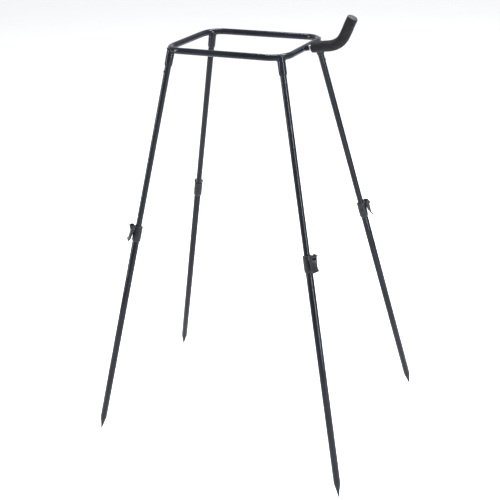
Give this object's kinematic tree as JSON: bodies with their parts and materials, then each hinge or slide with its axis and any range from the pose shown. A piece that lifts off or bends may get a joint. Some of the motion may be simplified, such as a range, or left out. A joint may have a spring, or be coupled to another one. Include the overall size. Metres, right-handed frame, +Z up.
{
  "type": "telescopic hoop stand",
  "caption": "Splayed telescopic stand with an open rounded-rectangle tube hoop, lever clamps, pointed feet and a foam-covered swivel arm.",
  "frame": {"origin": "on the ground plane through the four foot tips, directly under the centre of the hoop", "axes": "+Z up, +Y to the rear bar of the hoop, +X to the bar that carries the arm"},
  "size_m": [0.7715, 0.5876, 1.1713],
  "materials": {
    "black_steel": "gloss black enamel over welded steel tube",
    "black_upper_tube": "gloss black coated tube",
    "black_lower_tube": "gloss black coated tube",
    "spike_metal": "satin black point",
    "collar_plastic": "moulded black, fine texture",
    "lever_plastic": "moulded black, semi-gloss",
    "bush_plastic": "moulded",
    "button_steel": "dark, worn",
    "bright_steel": "dull steel",
    "foam": "matte closed-cell foam",
    "cap_plastic": "moulded black"
  },
  "bodies": {
    "frame": {"top_hoop": "black_steel", "arm_boss": "black_steel", "leg_socket_fl": "black_steel", "leg_socket_fr": "black_steel", "leg_socket_rl": "black_steel", "leg_socket_rr": "black_steel", "upper_leg_fl": "black_upper_tube", "upper_leg_fr": "black_upper_tube", "upper_leg_rl": "black_upper_tube", "upper_leg_rr": "black_upper_tube", "guide_bush_fl": "bush_plastic", "guide_bush_fr": "bush_plastic", "guide_bush_rl": "bush_plastic", "guide_bush_rr": "bush_plastic", "snap_button_fl": "button_steel", "snap_button_fr": "button_steel", "snap_button_rl": "button_steel", "snap_button_rr": "button_steel"},
    "leg_fl": {"lower_leg_fl": "black_lower_tube", "spike_fl": "spike_metal", "clamp_collar_fl": "collar_plastic", "lever_pin_fl": "bright_steel"},
    "lever_fl": {"clamp_lever_fl": "lever_plastic"},
    "leg_fr": {"lower_leg_fr": "black_lower_tube", "spike_fr": "spike_metal", "clamp_collar_fr": "collar_plastic", "lever_pin_fr": "bright_steel"},
    "lever_fr": {"clamp_lever_fr": "lever_plastic"},
    "leg_rl": {"lower_leg_rl": "black_lower_tube", "spike_rl": "spike_metal", "clamp_collar_rl": "collar_plastic", "lever_pin_rl": "bright_steel"},
    "lever_rl": {"clamp_lever_rl": "lever_plastic"},
    "leg_rr": {"lower_leg_rr": "black_lower_tube", "spike_rr": "spike_metal", "clamp_collar_rr": "collar_plastic", "lever_pin_rr": "bright_steel"},
    "lever_rr": {"clamp_lever_rr": "lever_plastic"},
    "arm": {"arm_stud": "bright_steel", "arm_nut": "bright_steel", "arm_tube": "black_upper_tube", "arm_foam": "foam", "arm_end_cap": "cap_plastic"}
  },
  "joints": [
    {"name": "leg_slide_fl", "type": "slide", "parent": "frame", "child": "leg_fl", "axis": [0.1975, 0.1642, 0.9664], "range_m": [-0.03, 0.4]},
    {"name": "clamp_lever_fl", "type": "hinge", "parent": "leg_fl", "child": "lever_fl", "pos_m": [-0.25759, -0.19602, 0.62154], "axis": [-0.6392, 0.769, 0], "range_deg": [0, 110]},
    {"name": "leg_slide_fr", "type": "slide", "parent": "frame", "child": "leg_fr", "axis": [-0.1975, 0.1642, 0.9664], "range_m": [-0.03, 0.4]},
    {"name": "clamp_lever_fr", "type": "hinge", "parent": "leg_fr", "child": "lever_fr", "pos_m": [0.26083, -0.18957, 0.62111], "axis": [-0.2321, -0.9657, 0.1166], "range_deg": [0, 110]},
    {"name": "leg_slide_rl", "type": "slide", "parent": "frame", "child": "leg_rl", "axis": [0.2206, -0.1029, 0.9699], "range_m": [-0.03, 0.4]},
    {"name": "clamp_lever_rl", "type": "hinge", "parent": "leg_rl", "child": "lever_rl", "pos_m": [-0.26325, 0.16992, 0.6228], "axis": [0.8667, 0.4769, -0.1465], "range_deg": [0, 110]},
    {"name": "leg_slide_rr", "type": "slide", "parent": "frame", "child": "leg_rr", "axis": [-0.1975, -0.1642, 0.9664], "range_m": [-0.03, 0.4]},
    {"name": "clamp_lever_rr", "type": "hinge", "parent": "leg_rr", "child": "lever_rr", "pos_m": [0.25759, 0.19602, 0.62154], "axis": [0.6392, -0.769, 0], "range_deg": [0, 110]},
    {"name": "arm_swivel", "type": "hinge", "parent": "frame", "child": "arm", "pos_m": [0.164, 0, 1.085], "axis": [0.9903, 0, 0.1392], "range_deg": [-90, 90]}
  ]
}
